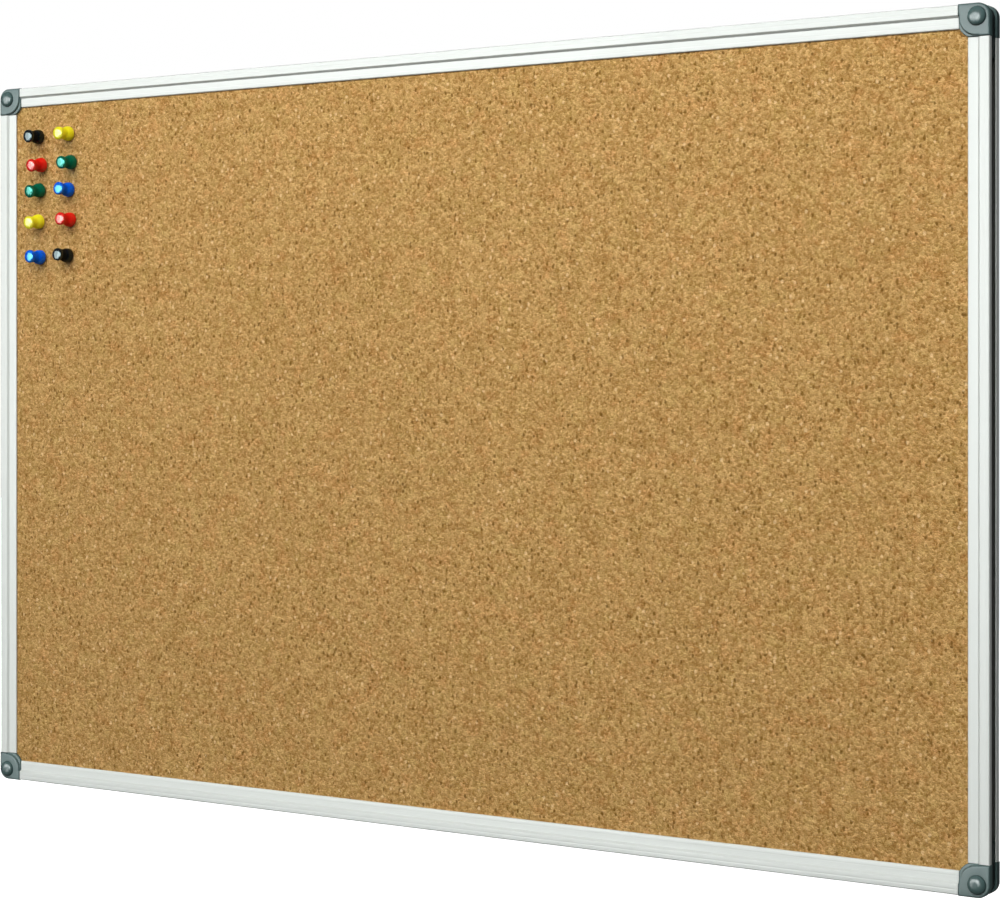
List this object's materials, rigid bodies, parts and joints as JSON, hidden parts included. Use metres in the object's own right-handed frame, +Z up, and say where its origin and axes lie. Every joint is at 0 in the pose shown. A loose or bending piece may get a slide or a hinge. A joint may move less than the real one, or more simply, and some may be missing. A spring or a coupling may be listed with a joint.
{
  "type": "cork notice board",
  "caption": "Wall-hung cork notice board in a slotted aluminium frame with plastic corner caps, round screw covers and pull-out push pins.",
  "frame": {"origin": "middle of the board in the plane of the wall, which the back of the frame lies on", "axes": "+X to the right along the long side, +Z up, and +Y into the wall, so the cork looks along -Y"},
  "size_m": [0.9, 0.032, 0.6],
  "materials": {
    "anodised_aluminium": "satin silver anodised extrusion with fine lengthwise die lines",
    "cap_plastic": "grey-green moulded plastic, fine satin grain",
    "cork": "fine agglomerated cork granules, raw and matt",
    "soft_fibreboard": "soft pressed fibreboard, raw",
    "kraft_liner": "brown kraft paper liner",
    "screw_steel": "zinc-plated steel",
    "needle_steel": "polished nickel-plated steel",
    "pin_black": "gloss moulded plastic, black",
    "pin_yellow": "gloss moulded plastic, yellow",
    "pin_red": "gloss moulded plastic, red",
    "pin_green": "gloss moulded plastic, green",
    "pin_blue": "gloss moulded plastic, blue"
  },
  "bodies": {
    "board": {"top_rail": "anodised_aluminium", "bottom_rail": "anodised_aluminium", "left_rail": "anodised_aluminium", "right_rail": "anodised_aluminium", "corner_cap_top_left": "cap_plastic", "corner_cap_top_right": "cap_plastic", "corner_cap_bottom_left": "cap_plastic", "corner_cap_bottom_right": "cap_plastic", "frame_screw_top_left_a": "screw_steel", "frame_screw_top_left_b": "screw_steel", "frame_screw_top_right_a": "screw_steel", "frame_screw_top_right_b": "screw_steel", "frame_screw_bottom_left_a": "screw_steel", "frame_screw_bottom_left_b": "screw_steel", "frame_screw_bottom_right_a": "screw_steel", "frame_screw_bottom_right_b": "screw_steel", "cork_sheet": "cork", "core_board": "soft_fibreboard", "back_liner": "kraft_liner"},
    "cover_top_left": {"screw_cover_top_left": "cap_plastic"},
    "cover_top_right": {"screw_cover_top_right": "cap_plastic"},
    "cover_bottom_left": {"screw_cover_bottom_left": "cap_plastic"},
    "cover_bottom_right": {"screw_cover_bottom_right": "cap_plastic"},
    "pin_a1": {"pin_a1_grip": "pin_black", "pin_a1_needle": "needle_steel"},
    "pin_b1": {"pin_b1_grip": "pin_yellow", "pin_b1_needle": "needle_steel"},
    "pin_a2": {"pin_a2_grip": "pin_red", "pin_a2_needle": "needle_steel"},
    "pin_b2": {"pin_b2_grip": "pin_green", "pin_b2_needle": "needle_steel"},
    "pin_a3": {"pin_a3_grip": "pin_green", "pin_a3_needle": "needle_steel"},
    "pin_b3": {"pin_b3_grip": "pin_blue", "pin_b3_needle": "needle_steel"},
    "pin_a4": {"pin_a4_grip": "pin_yellow", "pin_a4_needle": "needle_steel"},
    "pin_b4": {"pin_b4_grip": "pin_red", "pin_b4_needle": "needle_steel"},
    "pin_a5": {"pin_a5_grip": "pin_blue", "pin_a5_needle": "needle_steel"},
    "pin_b5": {"pin_b5_grip": "pin_black", "pin_b5_needle": "needle_steel"}
  },
  "joints": [
    {"name": "cover_top_left_pull", "type": "slide", "parent": "board", "child": "cover_top_left", "axis": [0, -1, 0], "range_m": [0, 0.008]},
    {"name": "cover_top_right_pull", "type": "slide", "parent": "board", "child": "cover_top_right", "axis": [0, -1, 0], "range_m": [0, 0.008]},
    {"name": "cover_bottom_left_pull", "type": "slide", "parent": "board", "child": "cover_bottom_left", "axis": [0, -1, 0], "range_m": [0, 0.008]},
    {"name": "cover_bottom_right_pull", "type": "slide", "parent": "board", "child": "cover_bottom_right", "axis": [0, -1, 0], "range_m": [0, 0.008]},
    {"name": "pin_a1_pull", "type": "slide", "parent": "board", "child": "pin_a1", "axis": [-0.0349, -0.9992, -0.0174], "range_m": [0, 0.012]},
    {"name": "pin_b1_pull", "type": "slide", "parent": "board", "child": "pin_b1", "axis": [-0.0175, -0.9989, -0.0436], "range_m": [0, 0.012]},
    {"name": "pin_a2_pull", "type": "slide", "parent": "board", "child": "pin_a2", "axis": [-0.0436, -0.9936, -0.1044], "range_m": [0, 0.012]},
    {"name": "pin_b2_pull", "type": "slide", "parent": "board", "child": "pin_b2", "axis": [-0.0087, -0.9962, -0.0872], "range_m": [0, 0.012]},
    {"name": "pin_a3_pull", "type": "slide", "parent": "board", "child": "pin_a3", "axis": [-0.0523, -0.9877, -0.1476], "range_m": [0, 0.012]},
    {"name": "pin_b3_pull", "type": "slide", "parent": "board", "child": "pin_b3", "axis": [-0.0175, -0.9992, 0.0349], "range_m": [0, 0.012]},
    {"name": "pin_a4_pull", "type": "slide", "parent": "board", "child": "pin_a4", "axis": [-0.0175, -0.9913, -0.1305], "range_m": [0, 0.012]},
    {"name": "pin_b4_pull", "type": "slide", "parent": "board", "child": "pin_b4", "axis": [-0.0175, -0.9995, 0.0262], "range_m": [0, 0.012]},
    {"name": "pin_a5_pull", "type": "slide", "parent": "board", "child": "pin_a5", "axis": [-0.061, -0.9978, 0.0261], "range_m": [0, 0.012]},
    {"name": "pin_b5_pull", "type": "slide", "parent": "board", "child": "pin_b5", "axis": [-0.0349, -0.998, 0.0523], "range_m": [0, 0.012]}
  ]
}
